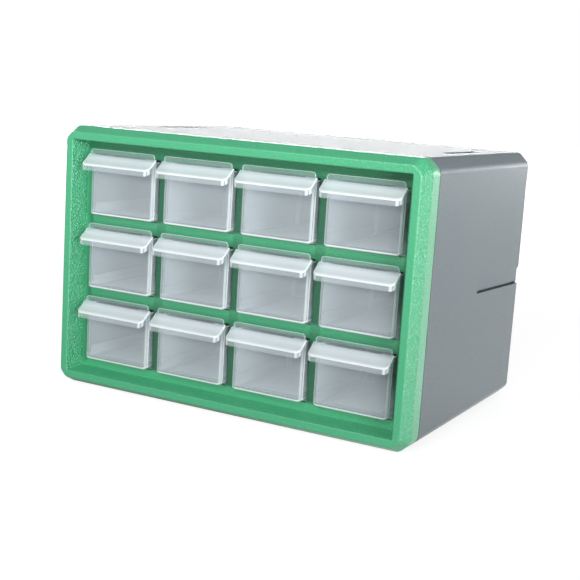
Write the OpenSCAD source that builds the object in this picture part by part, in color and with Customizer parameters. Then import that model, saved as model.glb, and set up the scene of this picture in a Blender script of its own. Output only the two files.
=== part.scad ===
// Small parts cabinet for a bench or a wall. A deep grey shell with cut corners
// carries a green front frame. Shelves and partitions inside guide clear drawers,
// each with a sloped pull across its front. Sizes are in millimetres, +Z is up,
// the drawers face -Y, and the origin is the middle of the base.

/* [Cabinet] */
// overall width, side to side
cabinet_w = 300; // [285:1:320]
// overall height
cabinet_h = 200; // [192:1:214]
// overall depth, front land to rear face
cabinet_d = 215; // [195:1:240]
// leg of the 45 degree cut along the four long corners
corner_cut = 8; // [6:0.5:10]
// thickness of the shell's walls
wall_t = 2.4; // [2:0.1:3]
// radius round the shell's rear edge
rear_r = 4.5; // [3:0.25:5]

/* [Front frame] */
// sideways reach of the rim's outer bevel
bevel_w = 4.6; // [3.6:0.1:5.4]
// front to back reach of the rim's outer bevel
bevel_d = 9.4; // [8:0.1:11]
// depth of the rim's plain side band
band_d = 12.2; // [11:0.2:14]
// width of the flat front land
land_w = 5.8; // [5.4:0.1:7]
// sideways flare of the rim's inner wall
flare_w = 1.6; // [0.8:0.1:2.4]
// depth of the recess, front land to grid
recess_d = 17; // [16:0.2:17.6]
// thickness of the grid plate
grid_t = 2.6; // [2:0.1:3]
// thickness of the hollow rim's walls
rim_t = 2.2; // [1.8:0.1:2.4]
// length of the spigot that enters the shell
spigot_l = 6; // [4:0.5:9]

/* [Grid] */
// bar at each side of the grid
side_bar = 6.5; // [5.5:0.1:8]
// upright bars between the columns
upright_bar = 6.9; // [6.4:0.1:8]
// cross bars between the rows
cross_bar = 10.5; // [9.5:0.1:12]
// bar below the bottom row
bottom_bar = 6.9; // [6:0.1:8]
// bar above the top row
top_bar = 9.2; // [8:0.1:11]

/* [Shelves] */
// thickness of a shelf
shelf_t = 2; // [1.6:0.1:2.4]
// thickness of a guide rib
rib_t = 1.8; // [1.4:0.1:2]
// height of a guide rib above its shelf
rib_h = 8; // [6:0.5:12]
// free depth behind the drawers
rear_room = 6; // [5:0.5:10]

/* [Drawers] */
// thickness of a drawer's walls and floor
drawer_t = 1.6; // [1.4:0.1:2]
// set-back of the drawer fronts behind the front land
front_set = 10.4; // [10.2:0.1:11]
// gap at each side of a drawer
side_gap = 0.65; // [0.4:0.05:0.9]
// gap over a drawer's side walls
top_gap = 1.3; // [0.8:0.1:2]
// rise of a drawer's front above its opening
front_rise = 4.6; // [3.6:0.1:5.2]
// radius of a drawer's upright front edges
edge_r = 4; // [3:0.25:5]
// radius of a drawer's lower corners
foot_r = 3; // [2:0.25:3.5]
// distance of the divider slots behind a drawer's front
divider_at = 84; // [60:1:120]
// gap between the two ribs of a divider slot
divider_gap = 2.2; // [1.6:0.1:3]
// how far those ribs stand out from a drawer's side
divider_rib = 1.2; // [0.8:0.1:1.6]

/* [Pulls] */
// height of the strip above a pull
strip_h = 4; // [3:0.1:5]
// reach of a pull in front of its drawer
pull_reach = 10; // [8:0.1:10]
// drop of a pull from its root to its nose
pull_drop = 7.4; // [5:0.1:9]
// hollow of a pull's top, below a straight slope
pull_sag = 0.8; // [0.3:0.05:1.2]
// height of the lip round a pull
lip_h = 5; // [4:0.1:6]
// thickness of a pull's skin and lip
pull_t = 1.5; // [1.3:0.1:1.8]
// radius of a pull's front corners
pull_r = 3; // [2:0.25:4.5]
// overhang of a pull past each side of its drawer
pull_over = 1.3; // [0.6:0.1:2]

/* [Joining slots and hangers] */
// length of a side slot, open at the rear
slot_l = 99.5; // [70:0.5:110]
// height of a side slot
slot_h = 14; // [10:0.5:16]
// depth of a side slot
slot_depth = 2; // [1.4:0.1:2.4]
// height of the run-out at a side slot's upper edge
slot_run = 3; // [2:0.1:4]
// height of the deep keyway along a side slot's lower edge
keyway_h = 1.6; // [1.2:0.1:2.4]
// depth of the keyway, from the cabinet's side
keyway_depth = 4.4; // [3:0.1:5]
// wall that closes the keyway's end at the rear
keyway_stop = 5; // [4:0.25:8]
// rise of a side slot towards the front, in degrees
slot_tilt = 2; // [0:0.25:3]
// length of a groove on the top
groove_l = 63; // [40:1:80]
// width of a groove on the top
groove_w = 8; // [4:0.5:12]
// depth of a groove on the top
groove_depth = 1.2; // [0.8:0.1:1.6]
// distance between the two wall hangers
hanger_pitch = 200; // [180:2:210]
// width of a hanger's narrow slot
hanger_slot = 4.6; // [4:0.1:5]
// diameter of a hanger's entry hole
hanger_head = 9; // [8:0.1:10]

/* [Hidden] */
$fn = 48;
columns = 4;
rows = 3;
// clearances
fit_gap = 0.2;
slip_gap = 0.25;
rest_gap = 0.3;
floor_gap = 0.6;
stop_gap = 0.3;
// extra length of a cutter past the face that it cuts
over = 1;
// shadow line where the frame meets the shell
reveal_d = 0.8;
reveal_in = 0.8;
spigot_t = 1.8;
ledge_w = 6;
ledge_t = 2.4;
strip_r = 2.5;
tray_rear_r = 3;
// width of a divider slot's ribs, and how far they stop below the drawer's rim
divider_rib_w = 1.6;
divider_drop = 2;
pull_steps = 10;
rear_steps = 4;
// wall left behind a keyway, and the margin of the pad round its slot
keyway_back = 1.8;
pad_margin = 3;
slot_level = 0.47;
groove_inset = 25;
groove_front = 0.43;
hanger_level = 0.76;
hanger_rise = 9;

frame_d = bevel_d + band_d;
rim_in = bevel_w + land_w + flare_w;
grid_w = cabinet_w - 2 * rim_in;
grid_h = cabinet_h - 2 * rim_in;
grid_rear = recess_d + grid_t;
opening_w = (grid_w - 2 * side_bar - (columns - 1) * upright_bar) / columns;
opening_h = (grid_h - bottom_bar - top_bar - (rows - 1) * cross_bar) / rows;
column_pitch = opening_w + upright_bar;
row_pitch = opening_h + cross_bar;
rear_inner = cabinet_d - wall_t;
inner_w = cabinet_w - 2 * wall_t;
drawer_w = opening_w - 2 * side_gap;
pull_w = drawer_w + 2 * pull_over;
drawer_l = rear_inner - rear_room - front_set;
tray_h = opening_h - floor_gap - top_gap;
front_h = opening_h - floor_gap + front_rise;
pull_root = front_h - strip_h;
partition_t = upright_bar - 2 * rib_t - 2 * slip_gap;
shelf_w = inner_w - 2 * (fit_gap + spigot_t + rest_gap + slip_gap);
shelf_mid = (grid_rear + rear_inner) / 2;
slot_z = slot_level * cabinet_h;
slot_rise = slot_l * tan(slot_tilt);
pad_t = keyway_depth + keyway_back - wall_t;
// how far a 45 degree cut shrinks for each millimetre of inset
cut_shrink = 2 - sqrt(2);

// y of a point a given depth behind the front land
function at_depth(d) = d - cabinet_d / 2;
// middle of a column, counted from the left
function column_x(c) = (c - (columns - 1) / 2) * column_pitch;
// lower edge of a row's openings, counted from the bottom
function opening_z(r) = rim_in + bottom_bar + r * row_pitch;
// upper face of a row's shelf, and the underside of its drawers
function shelf_top(r) = opening_z(r) + floor_gap - rest_gap;
function drawer_z(r) = opening_z(r) + floor_gap;
// x of the upright bar to the right of a column
function upright_x(c) = column_x(c) + column_pitch / 2;

// points of the cabinet's outline, pulled in by a distance, about the base line
function outline(inset) = let (
    w = cabinet_w / 2 - inset,
    z0 = inset,
    z1 = cabinet_h - inset,
    k = corner_cut - inset * cut_shrink
) [
    [-w + k, z0], [w - k, z0], [w, z0 + k], [w, z1 - k],
    [w - k, z1], [-w + k, z1], [-w, z1 - k], [-w, z0 + k]
];

// a prism over the cabinet's outline between two depths
module outline_prism(inset, d0, d1) {
    translate([0, at_depth(d1), 0])
        rotate([90, 0, 0])
            linear_extrude(d1 - d0)
                polygon(outline(inset));
}

// an upright bar whose left and right faces follow a profile of inset and depth
module belt(half, profile) {
    last = len(profile) - 1;
    right = [for (p = profile) [half - p[0], at_depth(p[1])]];
    left = [for (i = [last : -1 : 0]) [profile[i][0] - half, at_depth(profile[i][1])]];
    linear_extrude(2 * cabinet_w, center = true)
        polygon(concat(right, left));
}

// a block with the cabinet's outline whose edges all follow one profile: the bars
// for the sides, for top and bottom and for the cut corners meet in it
module profiled_block(profile) {
    first = profile[0][1];
    last = profile[len(profile) - 1][1];
    diagonal = (cabinet_w + cabinet_h - 2 * corner_cut) / 2 * sqrt(2) / 2;
    intersection() {
        outline_prism(0, first, last);
        belt(cabinet_w / 2, profile);
        translate([0, 0, cabinet_h / 2])
            rotate([0, 90, 0])
                belt(cabinet_h / 2, profile);
        translate([0, 0, cabinet_h / 2])
            rotate([0, 45, 0])
                belt(diagonal, profile);
        translate([0, 0, cabinet_h / 2])
            rotate([0, -45, 0])
                belt(diagonal, profile);
    }
}

// the recess in front of the grid, whose four walls flare towards the front
module recess() {
    w = grid_w / 2;
    h = grid_h / 2;
    lead = flare_w * over / recess_d;
    intersection() {
        linear_extrude(cabinet_h)
            polygon([
                [-w - flare_w - lead, at_depth(-over)], [w + flare_w + lead, at_depth(-over)],
                [w, at_depth(recess_d)], [-w, at_depth(recess_d)]
            ]);
        translate([-cabinet_w / 2, 0, cabinet_h / 2])
            rotate([90, 0, 90])
                linear_extrude(cabinet_w)
                    polygon([
                        [at_depth(-over), -h - flare_w - lead], [at_depth(recess_d), -h],
                        [at_depth(recess_d), h], [at_depth(-over), h + flare_w + lead]
                    ]);
    }
}

// a rectangular ring of space inside the rim, open at the rear
module rim_hollow(outer, inner, d0, d1) {
    difference() {
        outline_prism(outer, d0, d1);
        translate([-cabinet_w / 2 + inner, at_depth(d0 - over), inner])
            cube([cabinet_w - 2 * inner, d1 - d0 + 2 * over, cabinet_h - 2 * inner]);
    }
}

module front_frame() {
    spigot_in = wall_t + fit_gap;
    hollow_in = rim_in - flare_w - rim_t;
    color("mediumseagreen")
        difference() {
            union() {
                profiled_block([[bevel_w, 0], [0, bevel_d], [0, frame_d]]);
                outline_prism(spigot_in, frame_d - over, frame_d + spigot_l);
            }
            recess();
            outline_prism(spigot_in + spigot_t, grid_rear, frame_d + spigot_l + over);
            rim_hollow(bevel_w + rim_t / 2, hollow_in, rim_t + over, grid_rear + over);
            rim_hollow(bevel_w / 2 + rim_t, hollow_in, bevel_d, grid_rear + over);
            for (c = [0 : columns - 1], r = [0 : rows - 1])
                translate([column_x(c) - opening_w / 2, at_depth(recess_d - over), opening_z(r)])
                    cube([opening_w, grid_t + 2 * over, opening_h]);
        }
}

// the joining slot in a side wall: a shallow bay that runs out at the top, with a narrow
// keyway along its lower edge, which rises from the rear towards the front
module side_slot() {
    slope = slot_run / slot_depth;
    translate([cabinet_w / 2, at_depth(cabinet_d), slot_z])
        rotate([90 - slot_tilt, 0, 0]) {
            translate([0, 0, -over])
                linear_extrude(slot_l + over)
                    polygon([
                        [-slot_depth, 0], [over, 0], [over, slot_h + slope * over],
                        [-slot_depth, slot_h - slot_run]
                    ]);
            translate([-keyway_depth, 0, keyway_stop])
                cube([keyway_depth + over, keyway_h, slot_l - keyway_stop]);
        }
}

// thicker wall behind a side slot
module slot_pad() {
    translate([
        cabinet_w / 2 - wall_t - pad_t,
        at_depth(rear_inner - slot_l - pad_margin),
        slot_z - pad_margin
    ])
        cube([
            pad_t + wall_t / 2, slot_l + pad_margin + wall_t / 2,
            slot_h + slot_rise + 2 * pad_margin
        ]);
}

module top_groove() {
    translate([
        cabinet_w / 2 - groove_inset - groove_w / 2,
        at_depth(groove_front * cabinet_d),
        cabinet_h - groove_depth
    ])
        cube([groove_w, groove_l, groove_depth + over]);
}

// ledges on a side wall that the shelves lie on
module ledges() {
    front = frame_d + spigot_l + rest_gap;
    for (r = [0 : rows - 1])
        translate([inner_w / 2 - ledge_w, at_depth(front), shelf_top(r) - shelf_t - ledge_t])
            cube([ledge_w + wall_t / 2, rear_inner - front + wall_t / 2, ledge_t]);
}

// keyhole through the rear wall: the head goes in below, the neck sits above
module hanger() {
    translate([hanger_pitch / 2, at_depth(cabinet_d) + over, hanger_level * cabinet_h])
        rotate([90, 0, 0])
            linear_extrude(wall_t + 2 * over) {
                circle(d = hanger_head);
                translate([-hanger_slot / 2, 0])
                    square([hanger_slot, hanger_rise]);
                translate([0, hanger_rise])
                    circle(d = hanger_slot);
            }
}

module both_sides() {
    children();
    mirror([1, 0, 0])
        children();
}

module shell() {
    bend = [for (i = [0 : rear_steps]) 90 * i / rear_steps];
    rear = concat(
        [[reveal_in, frame_d], [reveal_in, frame_d + reveal_d], [0, frame_d + reveal_d]],
        [for (a = bend) [rear_r * (1 - cos(a)), cabinet_d - rear_r * (1 - sin(a))]]
    );
    color("slategray")
        difference() {
            union() {
                difference() {
                    profiled_block(rear);
                    outline_prism(wall_t, frame_d - over, rear_inner);
                }
                both_sides() {
                    ledges();
                    slot_pad();
                }
            }
            both_sides() {
                side_slot();
                top_groove();
                hanger();
            }
        }
}

// a shelf with upright guide ribs, a stop rib at the rear and slots for the partitions
module shelf(r) {
    top = shelf_top(r);
    front = at_depth(grid_rear);
    length = rear_inner - grid_rear - rest_gap;
    stop_y = at_depth(front_set + drawer_l + stop_gap);
    color("lightslategray")
        difference() {
            union() {
                translate([-shelf_w / 2, front, top - shelf_t])
                    cube([shelf_w, length, shelf_t]);
                for (c = [0 : columns - 1], side = [-1, 1])
                    translate([
                        column_x(c) + side * (opening_w / 2 + rib_t / 2) - rib_t / 2,
                        front, top - shelf_t / 2
                    ])
                        cube([rib_t, length, rib_h + shelf_t / 2]);
                for (c = [0 : columns - 1])
                    translate([column_x(c) - opening_w / 2, stop_y, top - shelf_t / 2])
                        cube([opening_w, rib_t, rib_h + shelf_t / 2]);
            }
            for (c = [0 : columns - 2])
                translate([
                    upright_x(c) - partition_t / 2 - slip_gap,
                    at_depth(shelf_mid), top - shelf_t - over
                ])
                    cube([partition_t + 2 * slip_gap, cabinet_d, shelf_t + 2 * over]);
        }
}

module shelf_bottom() {
    shelf(0);
}

module shelf_lower() {
    shelf(1);
}

module shelf_upper() {
    shelf(2);
}

// an upright plate between two columns, slotted from the front over each shelf and
// notched round the frame's spigot
module partition(c) {
    front = at_depth(grid_rear);
    notch_l = frame_d + spigot_l + rest_gap - grid_rear;
    notch_h = fit_gap + spigot_t + slip_gap;
    color("lightslategray")
        difference() {
            translate([upright_x(c) - partition_t / 2, front, wall_t])
                cube([partition_t, rear_inner - grid_rear - rest_gap, cabinet_h - 2 * wall_t - rest_gap]);
            for (r = [0 : rows - 1])
                translate([
                    upright_x(c) - partition_t / 2 - over,
                    front - over, shelf_top(r) - shelf_t
                ])
                    cube([partition_t + 2 * over, shelf_mid - grid_rear + over, shelf_t]);
            for (z = [wall_t - over, cabinet_h - wall_t - notch_h])
                translate([upright_x(c) - partition_t / 2 - over, front - over, z])
                    cube([partition_t + 2 * over, notch_l + over, notch_h + over]);
        }
}

module partition_left() {
    partition(0);
}

module partition_middle() {
    partition(1);
}

module partition_right() {
    partition(2);
}

// plan of a box with round corners, its front edge on y = 0
module round_plan(w, l, front_r, rear_r) {
    translate([-w / 2, front_r])
        square([w, l - front_r - rear_r]);
    translate([-w / 2 + front_r, 0])
        square([w - 2 * front_r, l / 2]);
    translate([-w / 2 + rear_r, l / 2])
        square([w - 2 * rear_r, l / 2]);
    for (side = [-1, 1]) {
        translate([side * (w / 2 - front_r), front_r])
            circle(r = front_r);
        translate([side * (w / 2 - rear_r), l - rear_r])
            circle(r = rear_r);
    }
}

// height of a pull's hollow top at a distance in front of the drawer
function pull_z(reach) = let (s = reach / pull_reach)
    pull_root - pull_drop * s - 4 * pull_sag * s * (1 - s);

// a slab under the pull's top, between two depths below it, as wide as asked
module pull_slab(w, upper, lower) {
    steps = [for (i = [0 : pull_steps]) i / pull_steps * pull_reach];
    back = drawer_t / 2;
    rotate([90, 0, 90])
        linear_extrude(w, center = true)
            polygon(concat(
                [[back, pull_root - upper]],
                [for (s = steps) [-s, pull_z(s) - upper]],
                [for (i = [pull_steps : -1 : 0]) [-steps[i], pull_z(steps[i]) - lower]],
                [[back, pull_root - lower]]
            ));
}

// plan of a pull, pulled in from its front and ends by a distance
module pull_plan(inset) {
    translate([0, -pull_reach + inset, 0])
        linear_extrude(front_h)
            round_plan(pull_w - 2 * inset, pull_reach - inset + drawer_t, pull_r - inset, drawer_t / 4);
}

module pull() {
    difference() {
        intersection() {
            pull_slab(pull_w, 0, lip_h);
            pull_plan(0);
        }
        intersection() {
            pull_slab(pull_w, pull_t, lip_h + over);
            pull_plan(pull_t);
            translate([-pull_w / 2, -pull_reach, 0])
                cube([pull_w, pull_reach, front_h]);
        }
    }
}

// outline of a drawer seen from the front, with round lower corners
module front_outline(h, upper_r) {
    translate([-drawer_w / 2, foot_r])
        square([drawer_w, h - foot_r - upper_r]);
    translate([-drawer_w / 2 + foot_r, 0])
        square([drawer_w - 2 * foot_r, h / 2]);
    translate([-drawer_w / 2 + upper_r, h / 2])
        square([drawer_w - 2 * upper_r, h / 2]);
    for (side = [-1, 1]) {
        translate([side * (drawer_w / 2 - foot_r), foot_r])
            circle(r = foot_r);
        translate([side * (drawer_w / 2 - upper_r), h - upper_r])
            circle(r = upper_r);
    }
}

// two upright ribs on the right wall of a drawer that hold the edge of a divider
module divider_slot() {
    step = (divider_gap + divider_rib_w) / 2;
    for (side = [-1, 1])
        translate([
            drawer_w / 2 - drawer_t - divider_rib,
            divider_at + side * step - divider_rib_w / 2, drawer_t / 2
        ])
            cube([divider_rib + drawer_t / 2, divider_rib_w, tray_h - drawer_t / 2 - divider_drop]);
}

// one drawer, its front on y = 0 and its floor on z = 0
module tray() {
    intersection() {
        union() {
            difference() {
                linear_extrude(tray_h)
                    round_plan(drawer_w, drawer_l, edge_r, tray_rear_r);
                translate([0, drawer_t, drawer_t])
                    linear_extrude(tray_h)
                        round_plan(
                            drawer_w - 2 * drawer_t, drawer_l - 2 * drawer_t,
                            edge_r - drawer_t, tray_rear_r - drawer_t / 2
                        );
            }
            both_sides()
                divider_slot();
        }
        rotate([90, 0, 0])
            translate([0, 0, -drawer_l - over])
                linear_extrude(drawer_l + 2 * over)
                    front_outline(front_h, strip_r);
    }
    // flat plate behind the pull and the strip above it
    intersection() {
        translate([-drawer_w / 2, 0, pull_root - lip_h])
            cube([drawer_w, drawer_t, front_h]);
        rotate([90, 0, 0])
            translate([0, 0, -drawer_t])
                linear_extrude(drawer_t)
                    front_outline(front_h, strip_r);
    }
    pull();
}

module drawer(row, column) {
    color("lightcyan", 0.6)
        translate([column_x(column - 1), at_depth(front_set), drawer_z(rows - row)])
            tray();
}

module drawer_r1c1() {
    drawer(1, 1);
}

module drawer_r1c2() {
    drawer(1, 2);
}

module drawer_r1c3() {
    drawer(1, 3);
}

module drawer_r1c4() {
    drawer(1, 4);
}

module drawer_r2c1() {
    drawer(2, 1);
}

module drawer_r2c2() {
    drawer(2, 2);
}

module drawer_r2c3() {
    drawer(2, 3);
}

module drawer_r2c4() {
    drawer(2, 4);
}

module drawer_r3c1() {
    drawer(3, 1);
}

module drawer_r3c2() {
    drawer(3, 2);
}

module drawer_r3c3() {
    drawer(3, 3);
}

module drawer_r3c4() {
    drawer(3, 4);
}

front_frame();
shell();
shelf_bottom();
shelf_lower();
shelf_upper();
partition_left();
partition_middle();
partition_right();
drawer_r1c1();
drawer_r1c2();
drawer_r1c3();
drawer_r1c4();
drawer_r2c1();
drawer_r2c2();
drawer_r2c3();
drawer_r2c4();
drawer_r3c1();
drawer_r3c2();
drawer_r3c3();
drawer_r3c4();
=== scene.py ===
import math

import bmesh
import bpy
import numpy as np
from mathutils import Matrix, Vector
from mathutils.geometry import delaunay_2d_cdt


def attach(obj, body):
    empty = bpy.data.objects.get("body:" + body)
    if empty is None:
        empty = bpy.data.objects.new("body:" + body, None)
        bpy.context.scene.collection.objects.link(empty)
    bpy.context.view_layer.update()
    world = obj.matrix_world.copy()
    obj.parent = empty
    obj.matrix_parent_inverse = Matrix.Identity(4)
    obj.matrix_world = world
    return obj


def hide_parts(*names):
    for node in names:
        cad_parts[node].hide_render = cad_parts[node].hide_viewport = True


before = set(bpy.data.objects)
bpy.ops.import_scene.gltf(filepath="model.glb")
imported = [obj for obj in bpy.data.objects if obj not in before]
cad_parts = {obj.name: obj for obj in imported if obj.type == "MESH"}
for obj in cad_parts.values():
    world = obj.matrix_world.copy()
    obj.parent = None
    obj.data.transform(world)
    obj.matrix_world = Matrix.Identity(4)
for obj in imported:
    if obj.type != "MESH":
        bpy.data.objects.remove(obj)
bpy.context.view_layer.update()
scene = bpy.context.scene
scene.view_settings.view_transform = "Standard"
scene.cycles.transparent_max_bounces = 40  # a line of sight can cross many clear walls
print("frame loaded:", len(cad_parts), "nodes")

# millimetres, in the frame of the solids: +X right, fronts face -Y, base on z = 0
cabinet = dict(width=300.0, height=200.0, depth=215.0, cutLeg=8.0)
metre = 0.001
bendSteps = dict(fine=8, plain=6, small=5, slight=4)  # parts of a bend's arc
leastTurn = 1e-4       # radians: a path that turns less has no bend
supportGap = 0.25      # flat margin kept beside a rounded edge
supportShare = 0.1     # most of a short straight that this margin takes
stationGap = 0.01      # half the width of a sharp step between two grid lines
fillGap = 1e-7         # loop points of a flat sheet that are nearer meet
mergeGap = 1e-6        # metres: points of a piece that are nearer merge
slimEdge = 1e-7        # metres: shorter edges of a piece are taken out
sharpAngle = math.radians(38)


def depthToY(depth):
    return depth - cabinet["depth"] / 2


# a bend of radius r between two straights: the arc's radius vector turns evenly from one
# tangent point to the other; a point just outside each end keeps the straight flat;
# third column is 1 on the arc
def bendAt(before, corner, after, radius, steps):
    a = corner - before
    b = after - corner
    lengthA, lengthB = np.linalg.norm(a), np.linalg.norm(b)
    a, b = a / lengthA, b / lengthB
    turn = math.acos(np.clip(a @ b, -1, 1))
    if radius <= 0 or turn < leastTurn:
        return np.array([[*corner, 0.0]])
    reach = radius * math.tan(turn / 2)
    inward = (b - a) / np.linalg.norm(b - a)
    centre = corner + inward * radius / math.cos(turn / 2)
    start, end = corner - a * reach, corner + b * reach
    t = np.linspace(0, turn, steps + 1)[:, None]
    swing = (start - centre) * np.sin(turn - t) + (end - centre) * np.sin(t)
    arc = centre + swing / math.sin(turn)
    gap = min(supportGap, supportShare * lengthA, supportShare * lengthB)
    points = np.vstack([start - a * gap, arc, end + b * gap])
    flag = np.ones(len(points))
    flag[[0, -1]] = 0
    return np.column_stack([points, flag])


# a path through corner points with every corner bent, as one block of points per corner
def bentBlocks(corners, radii, steps=bendSteps["plain"], closed=False):
    path = np.asarray(corners, float)
    count = len(path)
    radii = np.broadcast_to(np.asarray(radii, float), count)
    blocks = []
    for i in range(count):
        if not closed and i in (0, count - 1):
            blocks.append(np.array([[*path[i], 0.0]]))
        else:
            blocks.append(bendAt(path[i - 1], path[i], path[(i + 1) % count], radii[i], steps))
    return blocks


def bentPath(corners, radii, steps=bendSteps["plain"], closed=False):
    return np.concatenate(bentBlocks(corners, radii, steps, closed))


# quads of a grid of points, row by row; rows and columns can close on themselves
def gridQuads(rows, cols, loopCols, loopRows):
    r = np.arange(rows if loopRows else rows - 1)
    c = np.arange(cols if loopCols else cols - 1)
    r, c = np.meshgrid(r, c, indexing="ij")
    up, right = (r + 1) % rows, (c + 1) % cols
    quads = [r * cols + c, r * cols + right, up * cols + right, up * cols + c]
    return np.stack(quads, -1).reshape(-1, 4)


# true where a line from a point towards +X crosses the closed loops an odd number of times
def insideLoops(points, loops):
    x, z = points[:, :1], points[:, 1:2]
    crossings = np.zeros(len(points), int)
    for loop in loops:
        (ax, az), (bx, bz) = loop[:, :2].T, np.roll(loop[:, :2], -1, 0).T
        rise = np.where(bz == az, 1, bz - az)
        spans = (az > z) != (bz > z)
        crossings += (spans & (x < ax + (z - az) / rise * (bx - ax))).sum(1)
    return crossings % 2 == 1


# a flat face with holes: closed loops in x and z become the edges of a triangulation,
# and the triangles inside the holes are left out; marks are the values of the mesh's mark at each loop's
# points, painted shade among them
def flatSheet(loops, depth, marks=None):
    coords, edges = [], []
    for loop in loops:
        i = np.arange(len(loop)) + len(coords)
        edges += np.column_stack([i, np.roll(i, -1)]).tolist()
        coords += [Vector(p) for p in loop[:, :2]]
    flat, _, faces, origin, *_ = delaunay_2d_cdt(coords, edges, [], 0, fillGap)
    flat, faces = np.array(flat), np.array(faces)
    faces = faces[insideLoops(flat[faces].mean(1), loops)]
    points = np.column_stack([flat[:, 0], np.full(len(flat), depthToY(depth)), flat[:, 1]])
    sheet = dict(points=points, faces=faces.tolist())
    if marks:
        sheet["finishAndPaintedLight"] = np.concatenate(marks)[[source[0] for source in origin]]
    return sheet


# a grid of points as a sheet; a cap closes its first or last row, or its left or right column
def gridSheet(points, loopCols=True, loopRows=False, caps=(), finishAndPaintedLight=0.0):
    rows, cols = points.shape[:2]
    faces = gridQuads(rows, cols, loopCols, loopRows).tolist()
    index = np.arange(rows * cols).reshape(rows, cols)
    ends = dict(first=index[0], last=index[-1], left=index[:, 0], right=index[:, -1])
    faces += [ends[cap].tolist() for cap in caps]
    return dict(points=points.reshape(-1, 3), faces=faces,
                finishAndPaintedLight=np.broadcast_to(finishAndPaintedLight, (rows, cols)).reshape(-1))


# sheets joined into one piece: equal points merge, faces turn outwards, bends shade smooth
def makePiece(name, sheets, material, body, nodes, offset=(0, 0, 0)):
    points, faces, finishAndPaintedLight, start = [], [], [], 0
    for sheet in sheets:
        points.append(sheet["points"])
        finishAndPaintedLight.append(sheet.get("finishAndPaintedLight", np.zeros(len(sheet["points"]))))
        faces += [[v + start for v in f] for f in sheet["faces"]]
        start += len(sheet["points"])
    mesh = bpy.data.meshes.new(name)
    mesh.from_pydata(((np.concatenate(points) + offset) * metre).tolist(), [], faces)
    mark = mesh.attributes.new("finishAndPaintedLight", "FLOAT", "POINT")
    mark.data.foreach_set("value", np.concatenate(finishAndPaintedLight).astype(np.float32))
    bm = bmesh.new()
    bm.from_mesh(mesh)
    bmesh.ops.remove_doubles(bm, verts=bm.verts, dist=mergeGap)
    bmesh.ops.dissolve_degenerate(bm, edges=bm.edges, dist=slimEdge)
    bmesh.ops.recalc_face_normals(bm, faces=bm.faces)
    bm.to_mesh(mesh)
    bm.free()
    mesh.shade_smooth()
    mesh.set_sharp_from_angle(angle=sharpAngle)
    mesh.materials.append(material)
    piece = bpy.data.objects.new(name, mesh)
    scene.collection.objects.link(piece)
    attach(piece, body)
    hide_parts(*nodes)


# outline of the cabinet at an inset: a rectangle with cut corners, its eight bends round;
# stations are extra points up the two sides and across the top
def outlineLoop(inset, cut, bend, sideStations=(), topStations=()):
    w = cabinet["width"] / 2 - inset
    low, high = inset, cabinet["height"] - inset
    corners = [(-w + cut, low), (w - cut, low), (w, low + cut), (w, high - cut),
               (w - cut, high), (-w + cut, high), (-w, high - cut), (-w, low + cut)]
    blocks = bentBlocks(corners, bend, closed=True)
    up = np.asarray(sideStations, float)
    across = np.asarray(topStations, float)[::-1]
    spare = np.zeros(len(up))
    blocks[2] = np.vstack([blocks[2], np.column_stack([spare + w, up, spare])])
    blocks[6] = np.vstack([blocks[6], np.column_stack([spare - w, up[::-1], spare])])
    spare = np.zeros(len(across))
    blocks[4] = np.vstack([blocks[4], np.column_stack([across, spare + high, spare])])
    return np.concatenate(blocks)


# loops in x and z, each at its own depth, as a grid of points
def loopWall(loops, depths):
    loops = np.array(loops)
    depth = np.broadcast_to(np.asarray(depths, float)[:, None], loops.shape[:2])
    return np.stack([loops[:, :, 0], depthToY(depth), loops[:, :, 1]], -1)


# a profile of inset and depth carried round the outline: one outline for each profile point
def carryRound(profile, cutFor, bendFor, **stations):
    loops = [outlineLoop(i, cutFor(i), bendFor(i), **stations) for i in profile[:, 0]]
    return loopWall(loops, profile[:, 1])


# rectangle in x and z with round corners, given its middle and half sizes
def openingLoop(x, z, halfWide, halfHigh, radius):
    corners = [(x - halfWide, z - halfHigh), (x + halfWide, z - halfHigh),
               (x + halfWide, z + halfHigh), (x - halfWide, z + halfHigh)]
    return bentPath(corners, radius, bendSteps["small"], closed=True)


def newMaterial(name):
    mat = bpy.data.materials.new(name)
    mat.use_nodes = True
    tree = mat.node_tree
    tree.nodes.clear()
    shader = tree.nodes.new("ShaderNodeBsdfPrincipled")
    output = tree.nodes.new("ShaderNodeOutputMaterial")
    tree.links.new(shader.outputs["BSDF"], output.inputs["Surface"])
    return mat, tree, shader


# a socket takes a link, a colour or a number
def feed(tree, socket, value):
    if isinstance(value, bpy.types.NodeSocket):
        tree.links.new(value, socket)
    elif socket.type == "RGBA":
        socket.default_value = (*value, 1)
    else:
        socket.default_value = value


def noiseOf(tree, scale, detail=2.0, rough=0.55):
    place = tree.nodes.new("ShaderNodeTexCoord")
    noise = tree.nodes.new("ShaderNodeTexNoise")
    noise.inputs["Scale"].default_value = scale
    noise.inputs["Detail"].default_value = detail
    noise.inputs["Roughness"].default_value = rough
    tree.links.new(place.outputs["Object"], noise.inputs["Vector"])
    return noise.outputs["Fac"]


# the share that a piece's mesh carries: on clear plastic white cloud and painted highlights, less than
# none below 0, and on the frame deep grain with painted glints on its crests above 0 and painted shade in
# the slots between the drawers below 0
def finishAndPaintedLightOf(tree):
    mark = tree.nodes.new("ShaderNodeAttribute")
    mark.attribute_name = "finishAndPaintedLight"
    return mark.outputs["Fac"]


# a source spread from low to high over its own span, by default the span of most noise
def rangeOf(tree, source, low, high, fromLow=0.3, fromHigh=0.7):
    spread = tree.nodes.new("ShaderNodeMapRange")
    feed(tree, spread.inputs["Value"], source)
    feed(tree, spread.inputs["From Min"], fromLow)
    feed(tree, spread.inputs["From Max"], fromHigh)
    feed(tree, spread.inputs["To Min"], low)
    feed(tree, spread.inputs["To Max"], high)
    return spread.outputs["Result"]


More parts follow.
